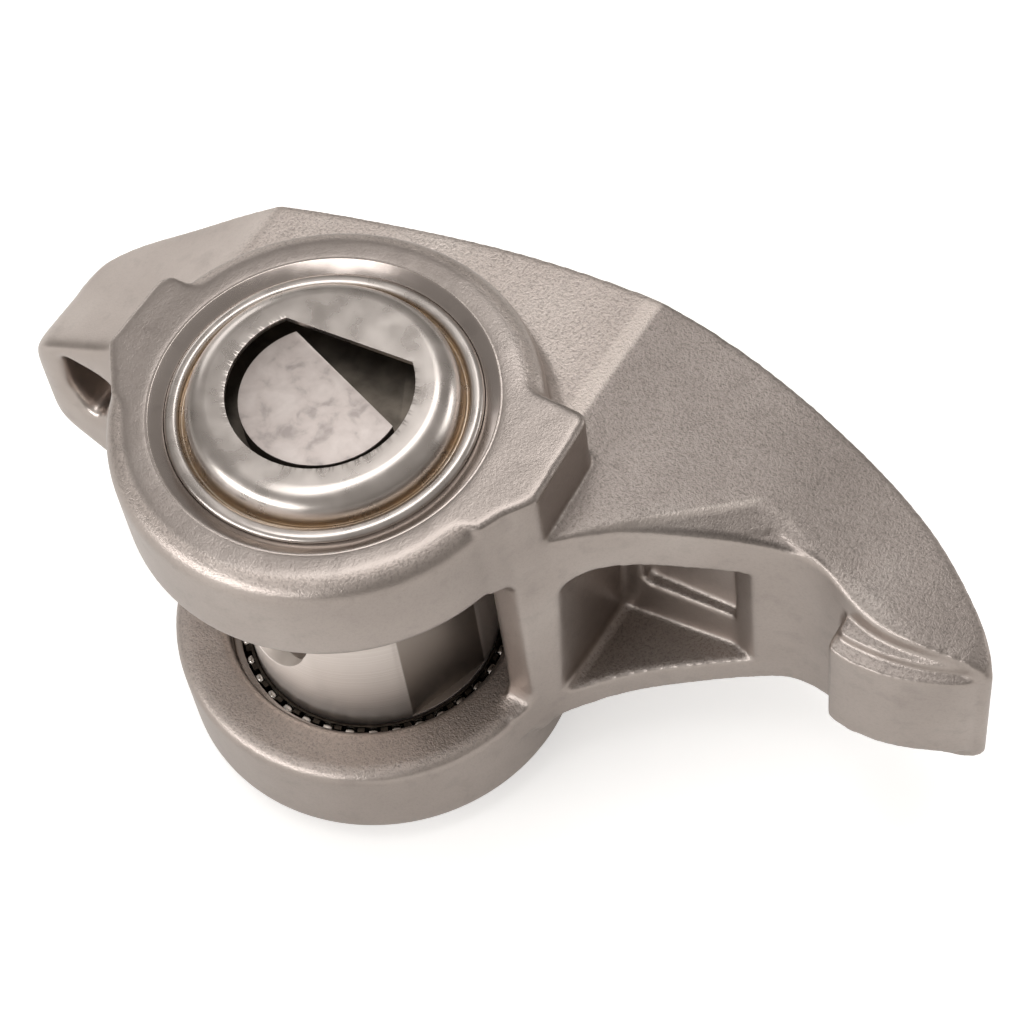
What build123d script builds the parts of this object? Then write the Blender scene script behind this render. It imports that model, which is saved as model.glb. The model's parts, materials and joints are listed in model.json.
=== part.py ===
"""Rocker lever on a shaft in two drawn-cup needle bearings.

Millimetres. +Z is the shaft axis, +X points to the tip of the arm, and the origin is on the shaft
axis in the lever's middle plane.
"""
import os
from math import cos, hypot, radians, sin, sqrt

from build123d import *

# How far solids that are joined or cut reach into each other
overlap = 1.0

# Shaft
shaft_radius = 22.5
shaft_half_length = 43.4
stub_length = 5.05
stub_radius = 13.44
stub_flat = 4.65
stub_angle = 71.8
shaft_flat_depth = 1.6
shaft_flat_end_gap = 0.65
cross_hole_angle = -110.5
cross_hole_radius = 11.8
cross_hole_depth = 10.0
cross_hole_chamfer = 2.7
shoulder_level = shaft_half_length - stub_length

# Needle rollers, each running in a slight clearance between the shaft and its cup
needle_count = 36
needle_diameter = 2.5
needle_gap = 0.02
needle_sides = 12
needle_phase = 2.0
needle_orbit = shaft_radius + needle_gap + needle_diameter / 2
raceway_radius = shaft_radius + needle_diameter + 2 * needle_gap

# Bearing cups, measured down from the closed face and in from the outside
cup_wall = 0.96
cup_length = 20.0
cup_face_gap = 2.0
cup_bead_drop = 4.2
cup_bead_width = 2.3
cup_bead_edge = 0.8
cup_groove_drop = 5.6
cup_groove_width = 3.7
cup_groove_edge = 1.0
cup_crown_width = 6.1
cup_crown_edge = 1.5
cup_lip = 0.8
cup_lip_width = 0.47
cup_radius = raceway_radius + cup_wall
cup_face_level = shaft_half_length + cup_face_gap
cup_lip_level = cup_face_level - cup_length

# Window in the cup's closed face, wider than the shaft's end
window_gap = 1.86
window_chord_gap = 5.41
window_angle = 96.6
window_corner = 1.6
window_cut = 4.0
window_radius = stub_radius + window_gap
window_chord = stub_flat + window_chord_gap

# Needle cages
cage_shaft_gap = 0.22
cage_bar_height = 1.58
cage_rim = 0.6
cage_end_gap = 0.1
cage_pocket_gap = 0.06
needle_lip_gap = 0.95
needle_crown_gap = 7.85
cage_inner_radius = shaft_radius + cage_shaft_gap
cage_bar_radius = cage_inner_radius + cage_bar_height
needle_low = cup_lip_level + needle_lip_gap
needle_high = cup_face_level - needle_crown_gap
shaft_flat_half_length = needle_low - shaft_flat_end_gap

# Rings of the fork
ring_wall = 9.84
ring_width = 20.5
cup_stand_out = 3.9
upper_ring_edge = 4.2
lower_ring_edge = 3.2
ring_inner_edge = 2.5
inner_chamfer = 1.2
bore_chamfer_height = 1.13
bore_chamfer_width = 2.43
boss_root = 2.0
boss_root_lap = 3.0
ring_radius = cup_radius + ring_wall
ring_face = cup_face_level - cup_stand_out
gap_half = ring_face - ring_width

# Back of the gap between the rings
gap_wall_step = 5.35
gap_wall_line = -3.9
gap_corner = 3.5
web_line = -8.2
gap_wall_radius = cup_radius + gap_wall_step

# Body, arm and lug
plate_level = 29.8
arm_crease = 32.6
arm_fall = 0.19
lug_crease = -35.5
lug_fall = 0.60
arm_tip = 109.4
pad_base = 22.0

# Body seen along the shaft: back edge and front edge from lug to tip
BACK = [
    (-69.4, 19.0), (-65.3, 24.2), (-55.0, 29.3), (-43.0, 33.9), (-30.0, 38.4), (-14.9, 42.7),
    (2.0, 46.7), (21.2, 49.5), (40.0, 50.2), (56.3, 48.5), (70.0, 45.4), (82.4, 41.4),
    (92.4, 36.7), (100.0, 31.5), (106.4, 25.8), (109.4, 21.8),
]
FRONT = [
    (36.8, -3.9), (40.0, 0.9), (44.0, 5.1), (50.0, 10.2), (56.0, 14.0), (62.0, 17.5), (68.0, 20.5),
    (73.0, 22.2), (78.0, 22.2), (83.0, 20.6), (88.0, 19.0), (94.0, 18.6), (100.0, 19.5),
    (106.5, 20.6),
]
TIP_END = [(108.8, 20.9)]
LUG_END = [(-67.4, 0.0), (-69.2, 0.8), (-70.0, 2.6)]

# Lug seen from the front, at the upper and the lower side of its end
LUG_SIDE = [
    (-39.8, -29.8), (-67.5, -13.0), (-69.4, -11.0), (-70.4, -7.5), (-70.4, 5.0), (-69.6, 8.0),
    (-67.6, 10.54),
]

# Rounded end of the arm seen from the front
TIP_SIDE = [(105.0, 16.04), (107.6, 14.8), (109.2, 12.6), (109.8, 10.0)]

# Pad under the tip of the arm, on a wider and shallower step
TIP_PAD = [
    (83.6, 14.7), (86.0, 14.0), (90.0, 13.9), (93.5, 14.3), (97.0, 15.2), (100.0, 16.3),
    (103.0, 17.6), (105.3, 18.8), (107.1, 20.2), (108.2, 22.0),
]
TIP_PAD_BACK = [(108.4, 23.2), (104.0, 27.0), (83.2, 27.0), (83.2, 16.2)]
TIP_STEP = [(85.0, 16.6), (93.0, 16.8), (100.0, 18.4), (106.0, 20.9)]
TIP_STEP_BACK = [(104.0, 26.0), (84.0, 26.0), (84.0, 17.6)]
tip_pad_half = 11.8
tip_step_half = 14.0

# Pad on the arm's side of the upper ring, and ear on the lug's side
PAD = [
    (20.0, 18.4), (37.6, 18.4), (38.9, 17.0), (39.7, 2.4), (39.9, 0.7), (38.6, -1.4), (36.8, -3.9),
    (34.9, -8.2), (31.0, -9.3), (22.0, -20.0),
]
EAR = [
    (-20.0, 9.0), (-36.4, 9.0), (-38.1, 7.2), (-38.1, -6.6), (-37.6, -7.6), (-31.5, -15.2),
    (-20.0, -20.0),
]

# Hollow in the front of the arm: seen along the shaft, and its opening seen from the front
ARM_POCKET_PLAN = [(36.0, -10.0), (36.0, 21.2), (61.5, 21.8), (67.9, 19.6), (67.9, -10.0)]
ARM_POCKET = [(40.8, 17.0), (52.0, 15.4), (67.9, 11.8), (67.9, -15.6), (52.0, -19.0), (39.3, -21.4)]
arm_pocket_first_corner = 5.5
arm_pocket_corner = 1.8
ARM_POCKET_STEP = [(44.0, 10.4), (62.0, 8.6), (62.0, -8.2), (44.0, -10.4)]
arm_pocket_step_front = 18.0
arm_pocket_step_depth = 5.9
arm_pocket_step_corner = 1.2

# Hollow in the front of the lug, seen from the front
LUG_POCKET = [(-62.0, 11.3), (-50.6, 10.0), (-58.2, -7.4), (-63.1, 0.5)]
lug_pocket_front = 2.0
lug_pocket_depth = 14.0
lug_pocket_corner = 1.9

# Sloping strip along the front of the arm's upper surface: its crest, and how far its edge drops
STRIP_CREST = [(40.1, 4.1), (64.7, 26.5), (85.0, 22.0)]
STRIP_DROP = [(64.0, 18.6, 0.9), (77.0, 20.5, 1.7)]
strip_height = 12.0


def polar(radius, angle):
    """The point at this radius and angle in degrees."""
    return radius * cos(radians(angle)), radius * sin(radians(angle))


def inset(points, gap):
    """The same open line moved to its left side by gap."""
    lines = []
    for (x0, y0), (x1, y1) in zip(points, points[1:]):
        length = hypot(x1 - x0, y1 - y0)
        nx, ny = -(y1 - y0) / length * gap, (x1 - x0) / length * gap
        lines.append(((x0 + nx, y0 + ny), (x1 + nx, y1 + ny)))
    moved = [lines[0][0]]
    for (a, b), (c, d) in zip(lines, lines[1:]):
        e, f = (b[0] - a[0], b[1] - a[1]), (d[0] - c[0], d[1] - c[1])
        t = ((c[0] - a[0]) * f[1] - (c[1] - a[1]) * f[0]) / (e[0] * f[1] - e[1] * f[0])
        moved.append((a[0] + t * e[0], a[1] + t * e[1]))
    return moved + [lines[-1][1]]


def facets(centre, radius, start, stop, steps):
    """A round of a profile, drawn as equal flats between two angles in degrees."""
    angles = [start + (stop - start) * step / steps for step in range(steps + 1)]
    return [(centre[0] + x, centre[1] + y) for x, y in (polar(radius, angle) for angle in angles)]


def plate(x):
    """Height of the body's upper surface at x."""
    if x > arm_crease:
        return plate_level - arm_fall * (x - arm_crease)
    return plate_level - lug_fall * max(0, lug_crease - x)


# Outline of the body, open in front of the shaft
with BuildSketch() as outline:
    with BuildLine():
        gap_wall_end = (sqrt(gap_wall_radius**2 - gap_wall_line**2), gap_wall_line)
        Spline(*BACK)
        Polyline(BACK[-1], *TIP_END, FRONT[-1])
        Spline(*FRONT)
        Line(FRONT[0], gap_wall_end)
        ThreePointArc(gap_wall_end, (0, gap_wall_radius), (-gap_wall_radius, 0))
        Polyline((-gap_wall_radius, 0), *LUG_END, BACK[0])
    make_face()

# Hollow in the front of the arm
with BuildPart() as arm_pocket:
    with BuildSketch(Plane.XZ):
        Polygon(*ARM_POCKET, align=None)
    extrude(amount=arm_tip, both=True)
    corners = arm_pocket.edges().filter_by(Axis.Y)
    first = ARM_POCKET[0][0], 0, ARM_POCKET[0][1]
    fillet(corners.sort_by_distance(first)[0], radius=arm_pocket_first_corner)
    fillet(arm_pocket.edges().filter_by(Axis.Y).sort_by(Axis.Z)[:2], radius=arm_pocket_corner)
    with BuildSketch(Plane.XY.offset(-plate_level)):
        Polygon(*ARM_POCKET_PLAN, align=None)
    extrude(amount=2 * plate_level, mode=Mode.INTERSECT)

# Shallow window in the back wall of that hollow
with BuildPart() as arm_pocket_step:
    with BuildSketch(Plane.XZ.offset(-arm_pocket_step_front)):
        Polygon(*ARM_POCKET_STEP, align=None)
    extrude(amount=-arm_pocket_step_depth)
    fillet(arm_pocket_step.edges().filter_by(Axis.Y), radius=arm_pocket_step_corner)

# Hollow in the front of the lug
with BuildPart() as lug_pocket:
    with BuildSketch(Plane.XZ.offset(lug_pocket_front)):
        Polygon(*LUG_POCKET, align=None)
    extrude(amount=-lug_pocket_depth)
    fillet(lug_pocket.edges().filter_by(Axis.Y), radius=lug_pocket_corner)

# Sloping front strip of the arm's upper surface
crest = [Vector(x, y, plate(x)) for x, y in STRIP_CREST]
drop = [Vector(x, y, plate(x) - fall) for x, y, fall in STRIP_DROP]
with BuildPart() as arm_strip:
    for start, along, low in ((crest[0], crest[1], drop[0]), (crest[1], crest[2], drop[1])):
        x_axis = (along - start).normalized()
        normal = x_axis.cross(low - start).normalized()
        normal = normal if normal.Z > 0 else -normal
        with BuildSketch(Plane(origin=start, x_dir=x_axis, z_dir=normal)):
            Rectangle(2 * arm_tip, 2 * arm_tip)
        extrude(amount=strip_height, mode=Mode.ADD if start is crest[0] else Mode.INTERSECT)

# Webs that join the body's front to both rings, and the filled corners at the back of the gap
web = [
    FRONT[0], (sqrt(ring_radius**2 - web_line**2), web_line), (gap_wall_end[0], web_line), gap_wall_end,
]
with BuildPart() as gap_corners:
    centre = gap_wall_line - gap_corner, gap_half - gap_corner
    with BuildSketch(Plane.YZ.offset(gap_wall_end[0])):
        Polygon(
            *facets(centre, gap_corner, 0, 90, 2),
            (centre[0], gap_half + overlap), (gap_wall_line, gap_half + overlap),
            align=None,
        )
    extrude(amount=FRONT[0][0] - gap_wall_end[0])
    mirror(about=Plane.XY)
    with BuildSketch(Plane.XY.offset(-plate_level)):
        Polygon(*web, align=None)
    extrude(amount=2 * plate_level, mode=Mode.INTERSECT)

# Root of the ring's boss on the body
with BuildPart() as boss_roots:
    with BuildSketch(Plane.XZ):
        Polygon(
            (ring_radius - boss_root_lap, plate_level - overlap),
            (ring_radius - boss_root_lap, plate_level + boss_root),
            (ring_radius, plate_level + boss_root), (ring_radius + boss_root, plate_level),
            (ring_radius + boss_root, plate_level - overlap),
            align=None,
        )
    revolve(axis=Axis.Z)
    mirror(about=Plane.XY)
    with BuildSketch(Plane.XY.offset(-ring_face)):
        add(outline.sketch)
    extrude(amount=2 * ring_face, mode=Mode.INTERSECT)

with BuildPart() as lever_arm:
    # Body seen along the shaft
    with BuildSketch(Plane.XY.offset(-plate_level)):
        add(outline.sketch)
    extrude(amount=2 * plate_level)
    # Body seen from the front, falling away to both ends
    upper = [(lug_crease, plate_level), (arm_crease, plate_level), *TIP_SIDE]
    lower = [(x, -z) for x, z in upper[:0:-1]]
    with BuildSketch(Plane.XZ):
        Polygon(*upper, *lower, *LUG_SIDE, align=None)
    extrude(amount=arm_tip, both=True, mode=Mode.INTERSECT)
    # Sloping strips along the arm's front
    add(arm_strip.part, mode=Mode.SUBTRACT)
    add(arm_strip.part.mirror(Plane.XY), mode=Mode.SUBTRACT)
    # Tip pad, standing proud of the arm's front in two steps
    with BuildSketch(Plane.XY.offset(-tip_step_half)):
        with BuildLine():
            Spline(*TIP_STEP)
            Polyline(TIP_STEP[-1], *TIP_STEP_BACK, TIP_STEP[0])
        make_face()
    extrude(amount=2 * tip_step_half)
    with BuildSketch(Plane.XY.offset(-tip_pad_half)):
        with BuildLine():
            Spline(*TIP_PAD)
            Polyline(TIP_PAD[-1], *TIP_PAD_BACK, TIP_PAD[0])
        make_face()
    extrude(amount=2 * tip_pad_half)
    # Rings
    for side, edge in ((1, upper_ring_edge), (-1, lower_ring_edge)):
        inner_centre = ring_radius - ring_inner_edge, gap_half + ring_inner_edge
        outer_centre = ring_radius - edge, ring_face - edge
        profile = [
            (0, gap_half), *facets(inner_centre, ring_inner_edge, -90, 0, 2),
            *facets(outer_centre, edge, 0, 90, 3), (0, ring_face),
        ]
        with BuildSketch(Plane.XZ):
            Polygon(*[(x, side * z) for x, z in profile], align=None)
        revolve(axis=Axis.Z)
    add(boss_roots.part)
    # Back of the gap
    for level in (gap_half, -plate(FRONT[0][0])):
        with BuildSketch(Plane.XY.offset(level)):
            Polygon(*web, align=None)
        extrude(amount=plate(FRONT[0][0]) - gap_half)
    add(gap_corners.part)
    # Boss pad on the arm side and ear on the lug side, milled level with the upper ring
    with BuildSketch(Plane.XY.offset(pad_base)):
        Polygon(*PAD, align=None)
        Polygon(*EAR, align=None)
    extrude(amount=ring_face - pad_base)
    # Bores, with a wide chamfer at each outer face
    with BuildSketch(Plane.XY.offset(-ring_face)):
        Circle(cup_radius)
    extrude(amount=2 * ring_face, mode=Mode.SUBTRACT)
    wide = cup_radius + bore_chamfer_width
    with Locations((0, 0, ring_face - bore_chamfer_height / 2)):
        Cone(cup_radius, wide, bore_chamfer_height, mode=Mode.SUBTRACT)
    with Locations((0, 0, -ring_face + bore_chamfer_height / 2)):
        Cone(wide, cup_radius, bore_chamfer_height, mode=Mode.SUBTRACT)
    inside = cup_radius + inner_chamfer
    with Locations((0, 0, gap_half + inner_chamfer / 2)):
        Cone(inside, cup_radius, inner_chamfer, mode=Mode.SUBTRACT)
    with Locations((0, 0, -gap_half - inner_chamfer / 2)):
        Cone(cup_radius, inside, inner_chamfer, mode=Mode.SUBTRACT)
    # Hollows
    add(arm_pocket.part, mode=Mode.SUBTRACT)
    add(arm_pocket_step.part, mode=Mode.SUBTRACT)
    add(lug_pocket.part, mode=Mode.SUBTRACT)

with BuildPart() as rocker_shaft:
    with BuildSketch(Plane.XY.offset(-shoulder_level)):
        Circle(shaft_radius)
    extrude(amount=2 * shoulder_level)
    # Reduced D-shaped ends
    for side in (1, -1):
        with BuildSketch(Plane.XY.offset(side * (shoulder_level - overlap))):
            Circle(stub_radius)
            with Locations(Location(polar(stub_flat + stub_radius / 2, stub_angle), stub_angle)):
                Rectangle(stub_radius, 3 * stub_radius, mode=Mode.SUBTRACT)
        extrude(amount=side * (stub_length + overlap))
    # Shallow ground flat on the middle
    flat_angle = stub_angle - 90
    with BuildSketch(Plane.XY.offset(-shaft_flat_half_length)):
        reach = 1.5 * shaft_radius - shaft_flat_depth
        with Locations(Location(polar(reach, flat_angle), flat_angle)):
            Rectangle(shaft_radius, 3 * shaft_radius)
    extrude(amount=2 * shaft_flat_half_length, mode=Mode.SUBTRACT)
    # Chamfered cross hole
    hole_axis = Vector(*polar(1, cross_hole_angle), 0)
    with BuildSketch(Plane(origin=hole_axis * (shaft_radius + overlap), z_dir=-hole_axis)):
        Circle(cross_hole_radius)
    extrude(amount=cross_hole_depth + overlap, mode=Mode.SUBTRACT)
    with BuildSketch(Plane(origin=hole_axis * shaft_radius, z_dir=-hole_axis)):
        Circle(cross_hole_radius + cross_hole_chamfer)
    extrude(amount=cross_hole_chamfer, taper=45, mode=Mode.SUBTRACT)

# One bearing cup, closed end up
outer = [
    (cup_radius, cup_lip_level), (cup_radius, cup_face_level - cup_bead_drop),
    (cup_radius - cup_bead_width, cup_face_level - cup_bead_drop),
    (cup_radius - cup_groove_width, cup_face_level - cup_groove_drop),
    (cup_radius - cup_crown_width, cup_face_level), (0, cup_face_level),
]
inner = inset(outer, cup_wall)
lip_radius = raceway_radius - cup_lip_width
lip = [
    (raceway_radius, cup_lip_level + cup_lip), (lip_radius, cup_lip_level + cup_lip),
    (lip_radius, cup_lip_level),
]
with BuildPart() as cup:
    with BuildSketch(Plane.XZ) as cup_profile:
        Polygon(*outer, *reversed(inner[1:]), *lip, align=None)
        edges = (outer[1], cup_bead_edge), (outer[4], cup_crown_edge), (inner[3], cup_groove_edge)
        for point, edge in edges:
            chamfer(cup_profile.vertices().sort_by_distance((*point, 0))[0], length=edge)
    revolve(axis=Axis.Z)
    with BuildSketch(Plane.XY.offset(cup_face_level - window_cut / 2)) as window:
        Circle(window_radius)
        with Locations(Location(polar(window_chord + window_radius / 2, window_angle), window_angle)):
            Rectangle(window_radius, 3 * window_radius, mode=Mode.SUBTRACT)
        fillet(window.vertices(), radius=window_corner)
    extrude(amount=window_cut, mode=Mode.SUBTRACT)

# One cage, in the upper bearing, with a flat side for each pocket
pocket_width = needle_diameter + 2 * cage_pocket_gap
pocket_length = needle_high - needle_low + 2 * cage_end_gap
pocket_middle = (needle_high + needle_low) / 2
with BuildPart() as cage:
    bar_angle = needle_phase + 180 / needle_count
    cage_half = pocket_length / 2 + cage_rim
    with BuildSketch(Plane.XY.offset(pocket_middle - cage_half)):
        RegularPolygon(cage_bar_radius, needle_count, rotation=bar_angle)
        RegularPolygon(
            cage_inner_radius, needle_count, major_radius=False, rotation=bar_angle, mode=Mode.SUBTRACT
        )
    extrude(amount=2 * cage_half)
    with Locations((0, 0, pocket_middle)):
        with PolarLocations(needle_orbit, needle_count, start_angle=needle_phase):
            Box(needle_diameter + 1, pocket_width, pocket_length, mode=Mode.SUBTRACT)

# One needle roller standing at the origin
with BuildPart() as needle:
    with BuildSketch(Plane.XY.offset(needle_low)):
        RegularPolygon(needle_diameter / 2, needle_sides)
    extrude(amount=needle_high - needle_low)

with BuildPart() as upper_needle_rollers:
    with PolarLocations(needle_orbit, needle_count, start_angle=needle_phase):
        add(needle.part)

os.makedirs("parts", exist_ok=True)
pieces = {
    "lever_arm": lever_arm.part,
    "rocker_shaft": rocker_shaft.part,
    "upper_bearing_cup": cup.part,
    "lower_bearing_cup": cup.part.mirror(Plane.XY),
    "upper_needle_cage": cage.part,
    "lower_needle_cage": cage.part.mirror(Plane.XY),
    "upper_needle_rollers": upper_needle_rollers.part,
}
lower_needle = needle.part.mirror(Plane.XY)
for index in range(needle_count):
    angle = needle_phase + index * 360 / needle_count
    pieces[f"lower_needle_roller_{index + 1:02d}"] = Rot(Z=angle) * Pos(X=needle_orbit) * lower_needle
for name, piece in pieces.items():
    piece.label = name
    export_step(piece, f"parts/{name}.step")
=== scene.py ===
"""Looks of a forged rocker lever with its shaft and two needle bearings.

Metres. +Z is the shaft's axis, +X points to the arm's tip and the origin lies on the shaft's axis.
"""
import json
from math import cos, radians, sin, tan

import bpy
from mathutils import Matrix, Vector


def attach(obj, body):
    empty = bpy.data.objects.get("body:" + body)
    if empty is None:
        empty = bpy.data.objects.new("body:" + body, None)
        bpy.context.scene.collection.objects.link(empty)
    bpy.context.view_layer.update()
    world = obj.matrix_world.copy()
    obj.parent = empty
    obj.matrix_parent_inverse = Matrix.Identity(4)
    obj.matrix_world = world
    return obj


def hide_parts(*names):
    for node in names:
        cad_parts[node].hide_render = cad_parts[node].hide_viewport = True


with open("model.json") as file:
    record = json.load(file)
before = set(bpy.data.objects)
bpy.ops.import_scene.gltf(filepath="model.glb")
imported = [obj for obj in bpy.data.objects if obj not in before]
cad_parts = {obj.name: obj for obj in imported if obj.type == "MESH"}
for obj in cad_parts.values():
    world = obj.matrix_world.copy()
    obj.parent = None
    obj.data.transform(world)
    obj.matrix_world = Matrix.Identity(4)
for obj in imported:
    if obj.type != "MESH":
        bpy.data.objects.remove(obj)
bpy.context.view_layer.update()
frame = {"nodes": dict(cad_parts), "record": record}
MM = 0.001

# Sizes shared with the solids, in millimetres
NEEDLE_RADIUS = 1.25
NEEDLE_ORBIT = 23.77
NEEDLE_COUNT = 36
NEEDLE_PHASE = 2.0
RING_RADIUS = 35.84
RING_FACE = 41.5
GAP_HALF = 21.0
BORE_RADIUS = 26.0
UPPER_RING_EDGE = 4.2
LOWER_RING_EDGE = 3.2
RING_INNER_EDGE = 2.5
INNER_CHAMFER = 1.2
BORE_CHAMFER_HEIGHT = 1.13
BORE_CHAMFER_WIDTH = 2.43
CUP_FACE = 45.4
CUP_LENGTH = 20.0
CUP_WALL = 0.96
NEEDLE_LOW, NEEDLE_HIGH = 26.35, 37.55
NEEDLE_MIDDLE = (NEEDLE_LOW + NEEDLE_HIGH) / 2
WINDOW_RADIUS, WINDOW_CHORD, WINDOW_ANGLE, WINDOW_CORNER = 15.3, 10.06, 96.6, 1.6
# Points nearer than this are one point
MERGE = 0.002


def nothing_selected():
    """Leaves edit mode and deselects every object."""
    if bpy.context.mode != "OBJECT":
        bpy.ops.object.mode_set(mode="OBJECT")
    bpy.ops.object.select_all(action="DESELECT")


def active(piece):
    """Makes this piece the only selected object."""
    nothing_selected()
    piece.select_set(True)
    bpy.context.view_layer.objects.active = piece
    return piece


def named(name):
    """Names the object that an operator has just made."""
    piece = bpy.context.active_object
    piece.name = name
    piece.data.name = name
    return piece


def settled(piece):
    """Puts the piece's place into its mesh, so that its object sits at the origin."""
    active(piece)
    bpy.ops.object.transform_apply(location=True, rotation=True, scale=True)
    return piece


def apply_modifier(piece, kind, **settings):
    """Adds one modifier with these settings and applies it."""
    active(piece)
    modifier = piece.modifiers.new(kind.title(), kind)
    for key, value in settings.items():
        setattr(modifier, key, value)
    bpy.ops.object.modifier_apply(modifier=modifier.name)
    return piece


def break_edges(piece, width, angle):
    """Breaks the edges sharper than this angle in degrees, by this width in mm."""
    return apply_modifier(
        piece, "BEVEL", width=width * MM, segments=2, limit_method="ANGLE", angle_limit=radians(angle)
    )


def smooth_shaded(piece, angle):
    """Smooth shading, with edges sharper than this angle in degrees kept crisp."""
    active(piece)
    bpy.ops.object.shade_smooth_by_angle(angle=radians(angle))
    return piece


def faces_outward(piece):
    """Merges doubles and turns every face outwards."""
    active(piece)
    bpy.ops.object.mode_set(mode="EDIT")
    bpy.ops.mesh.select_all(action="SELECT")
    bpy.ops.mesh.remove_doubles(threshold=MERGE * MM)
    bpy.ops.mesh.normals_make_consistent(inside=False)
    bpy.ops.object.mode_set(mode="OBJECT")
    return piece


def rounded(corners, steps=6):
    """A closed profile with each (x, z, radius) corner turned to a round of that radius."""
    points = []
    for index, (x, z, radius) in enumerate(corners):
        if not radius:
            points.append((x, z))
            continue
        here = Vector((x, z))
        back = (Vector(corners[index - 1][:2]) - here).normalized()
        onward = (Vector(corners[(index + 1) % len(corners)][:2]) - here).normalized()
        half = back.angle(onward) / 2
        middle = here + (back + onward).normalized() * (radius / sin(half))
        start, stop = here + back * (radius / tan(half)), here + onward * (radius / tan(half))
        first, last = start - middle, stop - middle
        for step in range(steps + 1):
            share = step / steps
            spoke = first.lerp(last, share).normalized() * radius
            points.append(tuple(middle + spoke))
    return points


def turned(name, profile, segments=160):
    """A turned ring: a loop is extruded and resized along a closed (radius, height) profile in mm."""
    nothing_selected()
    radius, height = profile[0]
    bpy.ops.mesh.primitive_circle_add(
        vertices=segments, radius=radius * MM, fill_type="NOTHING", location=(0, 0, height * MM)
    )
    piece = settled(named(name))
    bpy.ops.object.mode_set(mode="EDIT")
    bpy.ops.mesh.select_all(action="SELECT")
    for (r0, z0), (r1, z1) in zip(profile, [*profile[1:], profile[0]]):
        bpy.ops.mesh.extrude_region_move(TRANSFORM_OT_translate={"value": (0, 0, (z1 - z0) * MM)})
        bpy.ops.transform.resize(value=(r1 / r0, r1 / r0, 1), center_override=(0, 0, z1 * MM))
    bpy.ops.object.mode_set(mode="OBJECT")
    return faces_outward(piece)


def flipped_down(piece, name):
    """A mirrored copy of an upper piece, for the lower side."""
    active(piece)
    bpy.ops.object.duplicate()
    lower = named(name)
    bpy.ops.object.mode_set(mode="EDIT")
    bpy.ops.mesh.select_all(action="SELECT")
    bpy.ops.transform.resize(value=(1, 1, -1), center_override=(0, 0, 0))
    bpy.ops.object.mode_set(mode="OBJECT")
    return faces_outward(lower)


def cad_copy(node, name):
    """A merged copy of a CAD node's mesh as a new piece."""
    piece = frame["nodes"][node].copy()
    piece.data = piece.data.copy()
    for key in list(piece.keys()):
        del piece[key]
    piece.parent = None
    piece.matrix_world = Matrix.Identity(4)
    bpy.context.scene.collection.objects.link(piece)
    active(piece)
    named(name)
    piece.data.materials.clear()
    bpy.ops.object.mode_set(mode="EDIT")
    bpy.ops.mesh.select_all(action="SELECT")
    bpy.ops.mesh.remove_doubles(threshold=MERGE * MM)
    bpy.ops.object.mode_set(mode="OBJECT")
    return piece


def ring_skin(name, side, edge):
    """One ring of the fork with its edges rounded, to lie over the flats of the solid."""
    corners = [
        (BORE_RADIUS + INNER_CHAMFER, GAP_HALF, 0), (RING_RADIUS, GAP_HALF, RING_INNER_EDGE),
        (RING_RADIUS, RING_FACE, edge), (BORE_RADIUS + BORE_CHAMFER_WIDTH, RING_FACE, 0),
        (BORE_RADIUS, RING_FACE - BORE_CHAMFER_HEIGHT, 0), (BORE_RADIUS, GAP_HALF + INNER_CHAMFER, 0),
    ]
    return turned(name, [(r, side * z) for r, z in rounded(corners, 8)])


# The lug's end is rounder than the rest of the forging, from this x and fully after this run
LUG_SOFT_FROM, LUG_SOFT_RUN = -44.0, 8.0
# The hollow in the lug's front has the softest edges, up to this y
SCOOP_FROM, SCOOP_RUN, SCOOP_BACK = -46.0, 4.0, 15.0
# Upper face of the arm: its level, the crease where it starts to fall, and the fall in mm per mm
PLATE_LEVEL, PLATE_CREASE, PLATE_FALL = 29.8, 32.6, 0.19
# Low ridge near the arm's front edge, with the edge before it, as x and y
FRONT_RIDGE = [
    (40.5, 2.2), (45.7, 8.4), (57.6, 19.4), (64.4, 26.0), (70.0, 26.7), (75.8, 23.5), (83.0, 20.6),
]
FRONT_EDGE = [
    (40.0, 0.9), (44.0, 5.1), (50.0, 10.2), (56.0, 14.0), (62.0, 17.5), (68.0, 20.5), (73.0, 22.2),
    (78.0, 22.2), (83.0, 20.6),
]
# The ridge's height, how far it fades behind its crest, and the runs over which its two ends rise
RIDGE_HEIGHT, RIDGE_RUN, RIDGE_NEAR_RUN, RIDGE_FAR_RUN = 1.0, 18.0, 8.0, 15.0
# What counts as the upper face, in mm below and above its level
FACE_BELOW, FACE_ABOVE = 0.8, 0.6
# Middle of the painted highlight band along the crease, and the line of the ridge's crest, which carries a
# painted highlight, as its normal and offset
CREASE_BAND = PLATE_CREASE - 1.1
CREST_SIDE, CREST_OUT = (0.706, -0.709, 0.0), 27.0
# Painted shadow line behind the front edge: its furthest point, as x and y, and how its line falls from
# there
GUTTER_TOP, GUTTER_FALL, GUTTER_POWER = (76.0, 22.4), 0.0696, 1.6
# Skin grown over the forging: size of its cells in mm, rounds of smoothing, and most triangles
SKIN_CELL, SKIN_ROUNDS, LUG_ROUNDS, SCOOP_ROUNDS, LAST_ROUNDS = 0.42, 18, 40, 150, 3
MOST_TRIANGLES = 190000


def distance_to(line, point):
    """Distance in the plane from a point to a line of several points."""
    best = 1e9
    for start, stop in zip(line, line[1:]):
        a, b = Vector(start), Vector(stop)
        share = max(0.0, min(1.0, (point - a).dot(b - a) / (b - a).length_squared))
        best = min(best, (point - a.lerp(b, share)).length)
    return best


def crosses_under(line, point):
    """True if the point lies before this line, on the side of smaller y."""
    for (x0, y0), (x1, y1) in zip(line, line[1:]):
        if x0 <= point.x <= x1:
            return point.y < y0 + (y1 - y0) * (point.x - x0) / (x1 - x0)
    return False


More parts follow.
